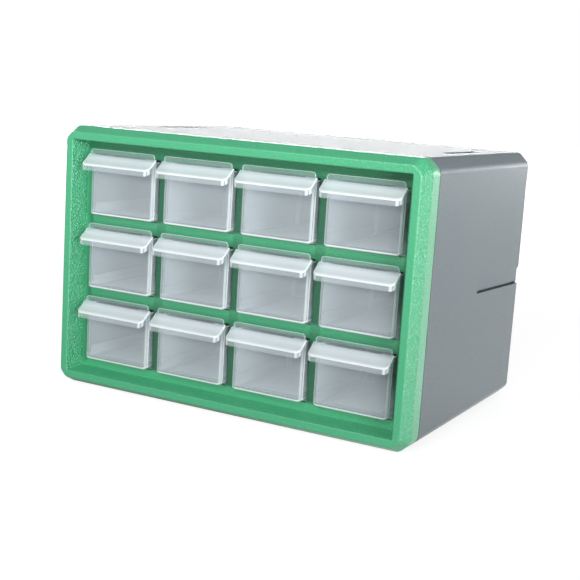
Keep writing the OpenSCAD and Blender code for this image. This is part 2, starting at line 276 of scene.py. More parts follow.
# sockets 6, 7 and 2 of a mix node are its colours
def blendOf(tree, factor, first, second):
    mix = tree.nodes.new("ShaderNodeMix")
    mix.data_type = "RGBA"
    feed(tree, mix.inputs["Factor"], factor)
    feed(tree, mix.inputs[6], first)
    feed(tree, mix.inputs[7], second)
    return mix.outputs[2]


def sumOf(tree, operation, *values):
    node = tree.nodes.new("ShaderNodeMath")
    node.operation = operation
    for socket, value in zip(node.inputs, values):
        feed(tree, socket, value)
    return node.outputs["Value"]


# 1 on rays of the named kinds
def raysOf(tree, *kinds):
    path = tree.nodes.new("ShaderNodeLightPath")
    found = path.outputs[kinds[0]]
    for kind in kinds[1:]:
        found = sumOf(tree, "MAXIMUM", found, path.outputs[kind])
    return found


def bumpFrom(tree, shader, height, distance, strength=1.0):
    bump = tree.nodes.new("ShaderNodeBump")
    feed(tree, bump.inputs["Strength"], strength)
    feed(tree, bump.inputs["Distance"], distance)
    feed(tree, bump.inputs["Height"], height)
    tree.links.new(bump.outputs["Normal"], shader.inputs["Normal"])


# grain of moulded plastic; spans are heights of the grain
pebbles = dict(smooth=0.6, reach=0.75, fineRatio=2.2, fineShare=0.5,
               dipSpan=(0.5, 1.1), crestSpan=(0.75, 1.05), roughSpan=(0.4, 1.2))


# spark-eroded plastic: pebbles from rounded cells over a finer noise; the dips between
# pebbles are a little darker and rougher, and the colour drifts slowly over the moulding;
# with marks, the mesh's mark sets the grain's depth, paints glints on its crests as painted highlights
# and paints shade into the slots
def grainedPlastic(name, look, marks=None):
    mat, tree, shader = newMaterial(name)
    place = tree.nodes.new("ShaderNodeTexCoord")
    cells = tree.nodes.new("ShaderNodeTexVoronoi")
    cells.feature = "SMOOTH_F1"
    cells.inputs["Scale"].default_value = 1 / look["grainSize"]
    cells.inputs["Smoothness"].default_value = pebbles["smooth"]
    tree.links.new(place.outputs["Object"], cells.inputs["Vector"])
    fine = noiseOf(tree, pebbles["fineRatio"] / look["grainSize"])
    pebble = rangeOf(tree, cells.outputs["Distance"], 1, 0, 0, pebbles["reach"])
    height = sumOf(tree, "MULTIPLY_ADD", fine, pebbles["fineShare"], pebble)
    drift = rangeOf(tree, noiseOf(tree, look["driftScale"]), 0, 1)
    tone = blendOf(tree, drift, look["colour"], look["colourDrift"])
    dip = rangeOf(tree, height, look["dipShade"], 0, *pebbles["dipSpan"])
    tone = blendOf(tree, dip, tone, look["dipColour"])
    depth = 1.0
    if marks:
        # painted highlight: the grain's crests whiten as glints, as far as the mark reaches
        crest = rangeOf(tree, height, 0, marks["crestGlint"], *pebbles["crestSpan"])
        crest = sumOf(tree, "MULTIPLY", crest, finishAndPaintedLightOf(tree))
        tone = blendOf(tree, crest, tone, marks["crestGlintColour"])
        # painted shade: where the mark is below 0, in the slots between the drawers, the colour darkens
        # towards the shade colour
        slot = rangeOf(tree, finishAndPaintedLightOf(tree), marks["slotShade"], 0, -1, 0)
        tone = blendOf(tree, slot, tone, marks["slotShadeColour"])
        depth = rangeOf(tree, finishAndPaintedLightOf(tree), marks["grainLeast"], 1, 0, 1)
    tree.links.new(tone, shader.inputs["Base Color"])
    rough = rangeOf(tree, height, look["roughDip"], look["roughTop"], *pebbles["roughSpan"])
    tree.links.new(rough, shader.inputs["Roughness"])
    shader.inputs["Specular IOR Level"].default_value = look["specular"]
    bumpFrom(tree, shader, height, look["grainDepth"], depth)
    return mat


# clear moulding: see-through walls with a faint cloud in them, whiter where the mesh's mark
# is high, with painted highlights at bends, lips and thick edges, and a slight flow ripple
def clearPlastic(name, look):
    mat, tree, shader = newMaterial(name)
    mark = finishAndPaintedLightOf(tree)
    cloud = noiseOf(tree, look["cloudScale"], look["cloudDetail"])
    haze = rangeOf(tree, cloud, look["hazeLow"], look["hazeHigh"])
    cover = sumOf(tree, "MULTIPLY_ADD", mark, look["frostAndHighlightGain"], haze)
    cover.node.use_clamp = True
    # clouded plastic lets part of the light through, so its shadow is lighter than its cover
    thin = rangeOf(tree, raysOf(tree, "Is Shadow Ray"), 1, look["shadowShare"], 0, 1)
    tree.links.new(sumOf(tree, "MULTIPLY", cover, thin), shader.inputs["Alpha"])
    # the white is cloud, and at edges and corners painted highlights
    tint = blendOf(tree, mark, look["wallColour"], look["edgeColour"])
    tree.links.new(tint, shader.inputs["Base Color"])
    ripple = noiseOf(tree, look["rippleScale"])
    rough = rangeOf(tree, ripple, look["roughLow"], look["roughHigh"])
    tree.links.new(rough, shader.inputs["Roughness"])
    shader.inputs["IOR"].default_value = look["bending"]
    shader.inputs["Specular IOR Level"].default_value = look["specular"]
    bumpFrom(tree, shader, ripple, look["rippleDepth"])
    return mat


# scales are per metre, grain and ripple sizes in metres; grainLeast is the share of the grain's
# depth where the finish is 0
frameLook = dict(colour=(0.07, 0.468, 0.228), colourDrift=(0.077, 0.487, 0.244),
                 dipColour=(0.05, 0.36, 0.17), dipShade=0.55, driftScale=14.0,
                 grainSize=0.0016, grainDepth=0.0009, roughDip=0.42, roughTop=0.2, specular=0.8)
# the frame's marks: painted glints on the grain's crests and painted shade in the slots between the
# drawers
frameMarks = dict(grainLeast=0.2, crestGlint=0.75, crestGlintColour=(0.36, 0.72, 0.55),
                  slotShade=0.9, slotShadeColour=(0.005, 0.09, 0.04))
shellLook = dict(colour=(0.15, 0.193, 0.213), colourDrift=(0.163, 0.204, 0.223),
                 dipColour=(0.11, 0.13, 0.14), dipShade=0.35, driftScale=9.0,
                 grainSize=0.0011, grainDepth=0.00006, roughDip=0.44, roughTop=0.38, specular=0.2)
rackLook = dict(colour=(0.5, 0.54, 0.56), colourDrift=(0.53, 0.57, 0.59),
                dipColour=(0.4, 0.43, 0.45), dipShade=0.3, driftScale=12.0,
                grainSize=0.0008, grainDepth=0.00005, roughDip=0.6, roughTop=0.45, specular=0.5)
drawerLook = dict(wallColour=(0.71, 0.8, 0.85), edgeColour=(0.95, 0.98, 0.98),
                  cloudScale=25.0, cloudDetail=3.0, hazeLow=0.23, hazeHigh=0.27,
                  frostAndHighlightGain=0.78, shadowShare=0.6, rippleScale=40.0, rippleDepth=0.000012,
                  roughLow=0.07, roughHigh=0.13, bending=1.49, specular=0.6)
greenPlastic = grainedPlastic("frameGreen", frameLook, frameMarks)
greyPlastic = grainedPlastic("shellGrey", shellLook)
rackPlastic = grainedPlastic("rackGrey", rackLook)
clearDrawer = clearPlastic("drawerClear", drawerLook)
print("materials ready")


# front frame: hollow rim and grid plate; cuts and bends are those of the outline's corners,
# and nearInset and nearDepth the margins in which a profile point counts as on a face
rim = dict(bevelWide=4.6, bevelDeep=9.4, rearDepth=21.6, landInset=10.4, gridInset=12.0,
           recess=17.0, gridRear=19.6, gridLap=0.1, spigotIn=2.6, spigotOut=4.4, spigotEnd=27.6,
           hollowIn=8.2, hollowFront=3.0, hollowBehind=0.6, hollowBeside=1.6, hollowRound=0.3,
           innerRound=0.9, landRound=1.5, bandRound=1.8, seamRound=0.3,
           bevelCut=5.3, landCut=0.55, bandBend=8.0, bevelBend=5.5, landBend=0.9,
           slopeGrainAndGlint=1.0, bevelGrainAndGlint=0.5, levelGrainAndGlint=0.2, nearInset=0.1, nearDepth=0.5)
grid = dict(columns=4, rows=3, openWide=60.575, openHigh=46.3, columnPitch=67.475, rowPitch=56.8,
            lowEdge=18.9, cornerRound=1.0, edgeRound=0.8, edgeLead=1.0, sunk=0.4, borderRound=0.5,
            lowSlotShade=0.1, highSlotShade=0.75)


def columnX(column):
    return (column - (grid["columns"] - 1) / 2) * grid["columnPitch"]


# cut and bend of the outline shrink from the band over the bevel to a square recess
def rimCut(inset):
    return np.interp(inset, [0, rim["bevelWide"], rim["landInset"]],
                     [cabinet["cutLeg"], rim["bevelCut"], rim["landCut"]])


def rimBend(inset):
    return np.interp(inset, [0, rim["bevelWide"], rim["landInset"]],
                     [rim["bandBend"], rim["bevelBend"], rim["landBend"]])


# rim: deep grain on the recess's sloped wall, half of it on the bevel, less on level sides, with painted
# glints on its crests in the same share
def rimParts():
    gridEnd, hollow = rim["gridRear"] - rim["gridLap"], rim["hollowRound"]
    section = [(rim["gridInset"], gridEnd), (rim["gridInset"], rim["recess"]),
               (rim["landInset"], 0), (rim["bevelWide"], 0),
               (0, rim["bevelDeep"]), (0, rim["rearDepth"]),
               (rim["spigotIn"], rim["rearDepth"]), (rim["spigotIn"], rim["spigotEnd"]),
               (rim["spigotOut"], rim["spigotEnd"]),
               (rim["spigotOut"], rim["bevelDeep"] + rim["hollowBehind"]),
               (rim["bevelWide"] + rim["hollowBeside"], rim["hollowFront"]),
               (rim["hollowIn"], rim["hollowFront"]), (rim["hollowIn"], gridEnd)]
    rounds = [0, 0, rim["innerRound"], rim["landRound"], rim["bandRound"], rim["seamRound"],
              0, hollow, hollow, hollow, hollow, hollow, 0]
    profile = bentPath(section, rounds, closed=True)
    inset, depth = profile[:, 0], profile[:, 1]
    slope = (inset > rim["landInset"] - rim["nearInset"]) & (depth > rim["nearDepth"])
    slope &= inset < rim["gridInset"] + rim["nearInset"]
    bevel = inset < rim["bevelWide"] - rim["nearInset"]
    bevel &= depth < rim["bevelDeep"] + rim["nearDepth"]
    grainAndGlint = np.where(slope, rim["slopeGrainAndGlint"], np.where(bevel, rim["bevelGrainAndGlint"], 0.0))
    skin = carryRound(profile, rimCut, rimBend)
    along = np.roll(skin, -1, 1) - np.roll(skin, 1, 1)
    upright = along[:, :, 2] ** 2 / (along ** 2).sum(2)
    grainAndGlint = grainAndGlint[:, None] * (rim["levelGrainAndGlint"] + (1 - rim["levelGrainAndGlint"]) * upright)
    return gridSheet(skin, loopRows=True, finishAndPaintedLight=grainAndGlint)


# grid plate: flat front and back with twelve openings, and a wall round each of them
def plateParts():
    # profile of an opening's wall, from the start of its front edge's bend to the rear
    thick = rim["gridRear"] - rim["recess"]
    edge = bentPath([(grid["edgeRound"] + grid["edgeLead"], 0), (0, 0), (0, thick)],
                    [0, grid["edgeRound"], 0], bendSteps["small"])[2:]
    halfWide, halfHigh = grid["openWide"] / 2, grid["openHigh"] / 2
    # painted shade in the slots between the drawers: full on the upright sides of the openings, fading
    # round their corners, and on the openings' walls all round, from half way round the front edge
    turn = np.linspace(0, 1, len(openingLoop(0, 0, halfWide, halfHigh, 1)) // 4)
    low, high = 1 - grid["lowSlotShade"], 1 - grid["highSlotShade"]
    paintedSlotShade = np.concatenate([low * turn, low * (1 - turn), high * turn, high * (1 - turn)]) - 1
    deep = np.clip(np.linspace(0, 2, len(edge)), 0, 1)[:, None]
    sheets, frontHoles, backHoles = [], [], []
    for column in range(grid["columns"]):
        for row in range(grid["rows"]):
            x = columnX(column)
            z = grid["lowEdge"] + row * grid["rowPitch"] + halfHigh
            loops = [openingLoop(x, z, halfWide + out, halfHigh + out, grid["cornerRound"] + out)
                     for out in edge[:, 0]]
            wall = loopWall(loops, rim["recess"] + edge[:, 1])
            sheets.append(gridSheet(wall, finishAndPaintedLight=paintedSlotShade * (1 - deep) - deep))
            frontHoles.append(loops[0])
            backHoles.append(loops[-1])
    inset = rim["gridInset"] - grid["sunk"]
    border = openingLoop(0, cabinet["height"] / 2, cabinet["width"] / 2 - inset,
                         cabinet["height"] / 2 - inset, grid["borderRound"])
    sheets.append(gridSheet(loopWall([border, border], [rim["recess"], rim["gridRear"]])))
    marks = [np.zeros(len(border))] + [paintedSlotShade] * len(frontHoles)
    sheets.append(flatSheet([border, *frontHoles], rim["recess"], marks))
    sheets.append(flatSheet([border, *backHoles], rim["gridRear"], marks))
    return sheets


def buildFrontFrame():
    sheets = [rimParts(), *plateParts()]
    makePiece("frontFrame", sheets, greenPlastic, "cabinet", ["front_frame"])


# shell: outer and inner walls in one skin, with slots, grooves and keyholes; zones are the
# margins in which a point counts as on the inner side wall, the pad's height or the top
shell = dict(wall=2.4, frontDepth=21.6, revealIn=0.8, revealDeep=0.8, capInset=9.0,
             innerRound=1.0, lipRound=0.2, revealRound=0.15, bandRound=0.35, rearRound=4.5,
             bend=6.0, innerBend=2.0, bendInset=6.0, wallZone=3.0, padZone=1.0, topZone=10.0,
             slotLow=94.0, slotHigh=14.0, slotDeep=2.0, slotRun=3.0, slotFront=115.5, slotTilt=2.0,
             keywayHigh=1.6, keywayDeep=4.4, keywayStop=5.0,
             padThick=3.8, padLow=91.0, padHigh=114.47, padFront=110.1,
             grooveX=125.0, grooveHalf=4.0, grooveDeep=1.2, grooveFront=92.45, grooveRear=155.45,
             keyX=100.0, keyZ=152.0, keyHead=4.5, keyNeck=2.3, keyRise=9.0, headSteps=32, neckSteps=16,
             ledgeWide=6.0, ledgeThick=2.4, ledgeFront=27.9, ledgeLow=14.8, ledgeSunk=0.2, ledgeRound=0.4)


def shellCut(inset):
    return cabinet["cutLeg"] - inset * (2 - math.sqrt(2))


def shellBend(inset):
    return np.interp(inset, [0, shell["bendInset"]], [shell["bend"], shell["innerBend"]])


# keyhole: a round head with a narrow neck above it that ends round
def keyholeLoop(side):
    head, neck, rise = shell["keyHead"], shell["keyNeck"], shell["keyRise"]
    meet = math.asin(neck / head)
    t = np.linspace(math.pi / 2 + meet, 5 * math.pi / 2 - meet, shell["headSteps"])
    top = np.linspace(0, math.pi, shell["neckSteps"])
    x = np.concatenate([head * np.cos(t), neck * np.cos(top)])
    z = np.concatenate([head * np.sin(t), rise + neck * np.sin(top)])
    return np.column_stack([side * shell["keyX"] + x, shell["keyZ"] + z])


def aroundStep(*values):
    return np.sort(np.concatenate([[v - stationGap, v + stationGap] for v in values]))


# profile of the wall from the rear cap's inside to its outside, and which points are outside,
# with doubled rows where a step starts or ends, on the inner and the outer wall
def shellProfile():
    wall, rear, front = shell["wall"], cabinet["depth"], shell["frontDepth"]
    seam = front + shell["revealDeep"]
    corners = [(shell["capInset"], rear - wall), (wall, rear - wall), (wall, front),
               (shell["revealIn"], front), (shell["revealIn"], seam), (0, seam),
               (0, rear), (shell["capInset"], rear)]
    rounds = [0, shell["innerRound"], shell["lipRound"], shell["revealRound"], 0,
              shell["bandRound"], shell["rearRound"], 0]
    blocks = bentBlocks(corners, rounds)
    inner = aroundStep(shell["padFront"])[::-1]
    outer = aroundStep(shell["grooveFront"], shell["slotFront"], shell["grooveRear"],
                       rear - shell["keywayStop"])
    blocks[1] = np.vstack([blocks[1], np.column_stack([wall + 0 * inner, inner, 0 * inner])])
    blocks[5] = np.vstack([blocks[5], np.column_stack([0 * outer, outer, 0 * outer])])
    profile = np.concatenate(blocks)
    return profile, np.arange(len(profile)) >= sum(len(b) for b in blocks[:5])


# depth of a side slot by height and depth of the cabinet: a shallow bay that runs out at the
# top over a deep keyway with a closed end
def slotDepth(z, depth):
    level = [-stationGap, stationGap, shell["keywayHigh"] - stationGap,
             shell["keywayHigh"] + stationGap, shell["slotHigh"] - shell["slotRun"], shell["slotHigh"]]
    shallow, deep = shell["slotDeep"], shell["keywayDeep"]
    slot = np.interp(z - shell["slotLow"], level, [0, shallow, shallow, shallow, shallow, 0])
    keyway = np.interp(z - shell["slotLow"], level, [0, deep, deep, 0, 0, 0])
    inKeyway = depth < cabinet["depth"] - shell["keywayStop"]
    return np.where(inKeyway, np.maximum(slot, keyway), slot)


def shellSkin():
    wall, rear = shell["wall"], cabinet["depth"]
    profile, isOuter = shellProfile()
    isOuter = isOuter[:, None]
    bay = shell["slotLow"] + np.array([0, shell["keywayHigh"]])
    run = shell["slotLow"] + shell["slotHigh"] - np.array([shell["slotRun"], 0])
    side = np.concatenate([aroundStep(shell["padLow"], *bay), run, aroundStep(shell["padHigh"])])
    groove = aroundStep(shell["grooveX"] - shell["grooveHalf"], shell["grooveX"] + shell["grooveHalf"])
    across = np.concatenate([-groove[::-1], groove])
    points = carryRound(profile, shellCut, shellBend, sideStations=side, topStations=across)
    x, depth, z = points[:, :, 0], points[:, :, 1] + rear / 2, points[:, :, 2]
    inset = cabinet["width"] / 2 - np.abs(x)
    onHeight = (z > shell["padLow"] - shell["padZone"]) & (z < shell["padHigh"] + shell["padZone"])
    outside = isOuter & onHeight
    onSlot = outside & (depth > shell["slotFront"])
    inset = np.where(onSlot, np.maximum(inset, slotDepth(z, depth)), inset)
    # the outer lines of the side walls rise towards the front with the slots
    rise = math.tan(math.radians(shell["slotTilt"])) * (rear - depth)
    points[:, :, 2] = np.where(outside, z + rise, z)
    # thicker wall behind the slots
    onPad = ~isOuter & (inset < shell["wallZone"]) & (depth > shell["padFront"])
    onPad &= (z > shell["padLow"]) & (z < shell["padHigh"])
    inset = np.where(onPad, wall + shell["padThick"], inset)
    points[:, :, 0] = np.sign(x) * (cabinet["width"] / 2 - inset)
    # top grooves
    onGroove = isOuter & (np.abs(np.abs(x) - shell["grooveX"]) < shell["grooveHalf"])
    onGroove &= (depth > shell["grooveFront"]) & (depth < shell["grooveRear"])
    onGroove &= z > cabinet["height"] - shell["topZone"]
    points[:, :, 2] -= np.where(onGroove, shell["grooveDeep"], 0)
    return points


# ledges under the shelves, a rounded bar from the spigot to the rear wall
def ledgeParts():
    wall, sunk = shell["wall"], shell["ledgeSunk"]
    halfWide, halfThick = shell["ledgeWide"] / 2, shell["ledgeThick"] / 2
    bars = []
    for side in (-1, 1):
        for row in range(grid["rows"]):
            x = side * (cabinet["width"] / 2 - wall - halfWide + sunk)
            z = shell["ledgeLow"] + row * grid["rowPitch"] + halfThick
            loop = openingLoop(x, z, halfWide + sunk, halfThick, shell["ledgeRound"])
            bar = loopWall([loop, loop], [shell["ledgeFront"], cabinet["depth"] - wall + sunk])
            bars.append(gridSheet(bar, caps=("first", "last")))
    return bars


def buildShell():
    rear = cabinet["depth"]
    inside = rear - shell["wall"]
    points = shellSkin()
    sheets = [gridSheet(points)]
    keyholes = [keyholeLoop(side) for side in (-1, 1)]
    for row, at in ((points[0], inside), (points[-1], rear)):
        sheets.append(flatSheet([row[:, [0, 2]], *keyholes], at))
    for loop in keyholes:
        sheets.append(gridSheet(loopWall([loop, loop], [inside, rear])))
    sheets += ledgeParts()
    makePiece("greyShell", sheets, greyPlastic, "cabinet", ["shell"])


# drawers: tray, strip plate and sloped pull, the same for all twelve; the painted highlight band
# and line of an upright corner lie by the square of the sideways part of the wall's normal
drawer = dict(wide=59.275, long=196.2, trayHigh=44.4, wall=1.6, frontRound=4.0, rearRound=3.0,
              leastRound=0.6, footSide=3.0, footFront=1.3, footSteps=8, footFade=(0.2, 0.6),
              rimRound=0.55, rimLead=9.0, floorRound=1.6, capInset=10.0, planSteps=41,
              frontZone=8.0, sideFade=0.6, bandAt=0.4, bandHalf=0.2, lineAt=0.86, lineHalf=0.09,
              front=-97.1, low=19.5, stripHigh=50.3, stripLow=41.3, stripRound=2.5, stripEdge=0.45,
              stripFoot=1.0, stripLeast=0.3, stripLead=2.2, stripSunk=0.03,
              slotAt=84.0, slotStep=1.9, ribHalf=0.8, ribOut=1.2, ribTop=42.4, ribRound=0.35, ribSunk=0.3)
pull = dict(root=46.3, reach=10.0, drop=7.4, sag=0.8, lip=5.0, thick=1.5, over=1.3, sunk=0.8,
            cornerRound=4.0, leastRound=0.25, edgeRound=0.7, lipRound=0.6, inner=0.8, middle=9.6,
            edgeHighlightRun=0.4, skinAt=(0.0, 0.3, 0.75, 1.0), skinFill=7, sideFill=8,
            nearTop=0.01, nearLip=0.05)
# share of white on each form of a drawer, white cloud and on edges and corners painted highlights,
# from 0 for a clear wall to 1 for a white edge, and below 0 for a form that is clearer than a wall
frostAndHighlightOn = dict(foot=0.85, rim=0.45, floorBend=0.1, floorLine=-0.3,
               uprightLeftHighlight=0.5, uprightHighlightBand=0.3, uprightRightHighlight=0.8,
               stripFace=-0.18, stripEdge=0.12, rib=0.2, pullSkin=(0.0, 0.45, 0.4, 0.75),
               pullTop=0.75, pullEdgeHighlight=0.75, pullUnder=0.1,
               lipFace=-0.08, lipCornerGlint=0.65, lipEnd=-0.15)


# plan of the tray at an inset, round at its four upright corners
def planLoop(inset):
    w, rear = drawer["wide"] / 2 - inset, drawer["long"] - inset
    radii = np.array([drawer["frontRound"]] * 2 + [drawer["rearRound"]] * 2) - inset
    radii = np.maximum(radii, drawer["leastRound"])
    corners = [(-w, inset), (w, inset), (w, rear), (-w, rear)]
    return bentPath(corners, radii, bendSteps["fine"], closed=True)


# section of the tray from the middle of its underside over the rim to the middle of its floor;
# columns: inset, the part of it that grows with the foot's radius, the same for height, frost
def traySection():
    wall, high, bend, r = drawer["wall"], drawer["trayHigh"], drawer["rimRound"], drawer["floorRound"]
    lead, cap, inner = high - drawer["rimLead"], drawer["capInset"], wall + r + supportGap
    fadeStart, fadeEnd = drawer["footFade"]
    t = np.linspace(0, math.pi / 2, drawer["footSteps"])
    zero = 0 * t
    # the white of the foot's bend and of the rim's bends is a painted highlight
    foot = np.column_stack([zero, 1 - np.sin(t), zero, 1 - np.cos(t), frostAndHighlightOn["foot"] * np.sin(t) ** 2])
    top = bentPath([(0, lead), (0, high), (wall, high), (wall, lead)], [0, bend, bend, 0],
                   bendSteps["small"])[1:-1]
    flat = 0 * top[:, 0]
    top = np.column_stack([top[:, 0], flat, top[:, 1], flat, frostAndHighlightOn["rim"] * top[:, 2]])
    floor = np.column_stack([wall + r * (1 - np.cos(t)), zero, wall + r * (1 - np.sin(t)), zero,
                             frostAndHighlightOn["floorBend"] * np.sin(2 * t)])
    return np.vstack([[cap, 0, 0, 0, 0], [supportGap, 1, 0, 0, 0], foot,
                      [0, 0, fadeStart, 1, frostAndHighlightOn["foot"]], [0, 0, fadeEnd, 1, 0], top,
                      [wall, 0, inner, 0, 0], floor, [inner, 0, wall, 0, 0], [cap, 0, wall, 0, 0]])


# painted highlights of the tray: on the bends of the section, on the middle of the left front corner
# and as two lines on the right one; the foot and the floor's bend whiten at the front only, and at the
# sides the bend is a clear line
def trayFrostAndHighlights(section, plan, sideways):
    atFront = plan[:, 1] < drawer["frontZone"]
    band = np.abs(sideways - drawer["bandAt"]) < drawer["bandHalf"]
    line = np.abs(sideways - drawer["lineAt"]) < drawer["lineHalf"]
    # painted highlights on the front upright corners: broad on the left, a band and a line on the right
    onLeft = frostAndHighlightOn["uprightLeftHighlight"] * 4 * sideways * (1 - sideways)
    onRight = np.where(band, frostAndHighlightOn["uprightHighlightBand"], frostAndHighlightOn["uprightRightHighlight"] * line)
    upright = plan[:, 2] * atFront * np.where(plan[:, 0] < 0, onLeft, onRight)
    front = atFront * (1 - drawer["sideFade"] * sideways)
    low = section[:, [2]] < drawer["wall"] + drawer["floorRound"]
    frostAndHighlight = np.maximum(section[:, [4]] * np.where(low, front, 1), upright[None, :])
    bent = low & (section[:, [0]] > drawer["wall"]) & (section[:, [4]] > 0)
    return np.where(bent & ~atFront, frostAndHighlightOn["floorLine"], frostAndHighlight)


# tray: its section carried round the plan; the outer foot's radius grows from the front to
# the sides with the square of the sideways part of the wall's normal
def trayParts():
    section = traySection()
    plan = planLoop(0.0)
    along = np.roll(plan[:, :2], -1, 0) - np.roll(plan[:, :2], 1, 0)
    sideways = along[:, 1] ** 2 / (along ** 2).sum(1)
    footRadius = drawer["footFront"] + (drawer["footSide"] - drawer["footFront"]) * sideways
    # each plan point runs inwards along its own line, from the outer plan to the capped one
    steps = np.linspace(0, drawer["capInset"], drawer["planSteps"])
    plans = np.array([planLoop(i)[:, :2] for i in steps])
    inset = section[:, [0]] + section[:, [1]] * footRadius
    at = np.clip(inset / steps[1], 0, len(steps) - 1.001)  # stays before the last plan
    low = at.astype(int)
    column = np.arange(len(plan))[None, :]
    part = (at - low)[:, :, None]
    xy = plans[low, column] * (1 - part) + plans[low + 1, column] * part
    z = section[:, [2]] + section[:, [3]] * footRadius
    points = np.concatenate([xy, z[:, :, None]], -1)
    return gridSheet(points, caps=("first", "last"), finishAndPaintedLight=trayFrostAndHighlights(section, plan, sideways))


# two upright ribs on each side wall that hold a divider: a bar with round edges on its free side
def ribParts():
    inner, half, bend = drawer["wide"] / 2 - drawer["wall"], drawer["ribHalf"], drawer["ribRound"]
    levels = (drawer["wall"] - drawer["ribSunk"], drawer["ribTop"])
    bars = []
    for side in (-1, 1):
        for step in (-drawer["slotStep"], drawer["slotStep"]):
            near, far = drawer["slotAt"] + step - half, drawer["slotAt"] + step + half
            root, free = side * (inner + drawer["ribSunk"]), side * (inner - drawer["ribOut"])
            plan = bentPath([(root, near), (free, near), (free, far), (root, far)],
                            [0, bend, bend, 0], bendSteps["slight"], closed=True)[:, :2]
            points = np.array([np.column_stack([plan, np.full(len(plan), z)]) for z in levels])
            bars.append(gridSheet(points, caps=("first", "last"), finishAndPaintedLight=frostAndHighlightOn["rib"]))
    return bars


# strip plate above the pull: a rounded plate whose edges bend front and back
def stripParts():
    w, edge, lead = drawer["wide"] / 2, drawer["stripEdge"], drawer["stripLead"]
    front, back = drawer["stripSunk"], drawer["wall"] - drawer["stripSunk"]
    section = bentPath([(lead, front), (0, front), (0, back), (lead, back)], [0, edge, edge, 0],
                       bendSteps["slight"])
    rounds = np.array([drawer["stripFoot"]] * 2 + [drawer["stripRound"]] * 2)
    loops = []
    for inset in section[:, 0]:
        low, high = drawer["stripLow"] + inset, drawer["stripHigh"] - inset
        corners = [(-w + inset, low), (w - inset, low), (w - inset, high), (-w + inset, high)]
        radii = np.maximum(rounds - inset, drawer["stripLeast"])
        loops.append(bentPath(corners, radii, closed=True))
    loops = np.array(loops)
    depth = np.broadcast_to(section[:, 1, None], loops.shape[:2])
    points = np.stack([loops[:, :, 0], depth, loops[:, :, 1]], -1)
    frostAndHighlight = np.where(section[:, [2]] > 0, frostAndHighlightOn["stripEdge"], frostAndHighlightOn["stripFace"])
    return gridSheet(points, caps=("first", "last"), finishAndPaintedLight=frostAndHighlight)


# height of the pull's top at a distance in front of the drawer: a straight fall with a hollow in it
def pullHeight(reach):
    s = np.clip(reach / pull["reach"], 0, 1)
    return pull["root"] - pull["drop"] * s - 4 * pull["sag"] * s * (1 - s)


# points evenly between two ends, without them
def between(first, last, parts):
    return first + (last - first) * np.linspace(0, 1, parts)[1:-1, None]


# section of the pull as inset, depth below the top and frost and painted highlight: top skin, edge, lip
# and underside
def pullSection():
    thick, lip, middle, lipRound = pull["thick"], pull["lip"], pull["middle"], pull["lipRound"]
    corners = [(middle, 0), (0, 0), (0, -lip), (thick, -lip), (thick, -thick), (middle, -thick)]
    blocks = bentBlocks(corners, [0, pull["edgeRound"], lipRound, lipRound, pull["inner"], 0])
    # frost and painted highlight before, within and after each bend
    before = ("pullTop", "pullTop", "lipFace", "lipEnd", "lipFace", "pullUnder")
    within = ("pullTop", "pullEdgeHighlight", "lipEnd", "lipEnd", "pullUnder", "pullUnder")
    after = ("pullTop", "pullEdgeHighlight", "lipEnd", "lipFace", "pullUnder", "pullUnder")
    for block, first, mid, last in zip(blocks, before, within, after):
        block[:, 2] = frostAndHighlightOn[mid]
        block[0, 2], block[-1, 2] = frostAndHighlightOn[first], frostAndHighlightOn[last]
    # the painted highlight of the front edge runs a little way down the lip
    blocks[1] = np.vstack([blocks[1], [0, blocks[1][-1, 1] - pull["edgeHighlightRun"], frostAndHighlightOn["lipFace"]]])
    section = np.concatenate(blocks)
    return np.vstack([section[:1], between(section[0], section[1], pull["skinFill"]), section[1:-1],
                      between(section[-2], section[-1], pull["skinFill"]), section[-1:]])


# pull: its section carried along the left end, the front and the right end, so that the lip
# hangs from the edge of the sloped skin
def pullParts():
    section = pullSection()
    lines = []
    for inset in section[:, 0]:
        w, nose = drawer["wide"] / 2 + pull["over"] - inset, -(pull["reach"] - inset)
        radius = max(pull["cornerRound"] - inset, pull["leastRound"])
        corners = [(-w, pull["sunk"]), (-w, nose), (w, nose), (w, pull["sunk"])]
        back, left, right, end = bentBlocks(corners, [0, radius, radius, 0], bendSteps["fine"])
        lines.append(np.vstack([back, between(back[-1], left[0], pull["sideFill"]), left, right,
                                between(right[-1], end[0], pull["sideFill"]), end]))
    lines = np.array(lines)
    z = pullHeight(-lines[:, :, 1]) + section[:, [1]]
    points = np.stack([lines[:, :, 0], lines[:, :, 1], z], -1)
    # white: the top skin whitens towards the nose, and two painted glints whiten the lip in each corner
    nose = np.clip(-lines[:, :, 1] / pull["reach"], 0, 1)
    skin = np.interp(nose, pull["skinAt"], frostAndHighlightOn["pullSkin"])
    onTop = (section[:, [1]] > -pull["nearTop"]) & (section[:, [2]] == frostAndHighlightOn["pullTop"])
    frostAndHighlight = np.where(onTop, skin, section[:, [2]])
    bends = np.flatnonzero(lines[0, :, 2])
    wave = np.tile(np.linspace(0, 2 * math.pi, len(bends) // 2), 2)
    glint = np.zeros(z.shape[1])
    glint[bends] = frostAndHighlightOn["lipCornerGlint"] * np.abs(np.sin(wave))
    onLip = (section[:, [0]] < pull["nearLip"]) & (section[:, [1]] < -pull["edgeRound"])
    frostAndHighlight = np.where(onLip, np.maximum(frostAndHighlight, glint[None, :]), frostAndHighlight)
    return gridSheet(points, loopCols=False, loopRows=True, caps=("left", "right"), finishAndPaintedLight=frostAndHighlight)


def buildDrawers():
    sheets = [trayParts(), stripParts(), pullParts(), *ribParts()]
    for row in range(grid["rows"]):
        for column in range(grid["columns"]):
            label = "r%dc%d" % (row + 1, column + 1)
            z = drawer["low"] + (grid["rows"] - 1 - row) * grid["rowPitch"]
            body = "drawer_" + label
            makePiece("drawer." + label, sheets, clearDrawer, body, [body],
                      (columnX(column), drawer["front"], z))


buildFrontFrame()
print("front frame built")
buildShell()
print("shell built")
buildDrawers()
print("drawers built")

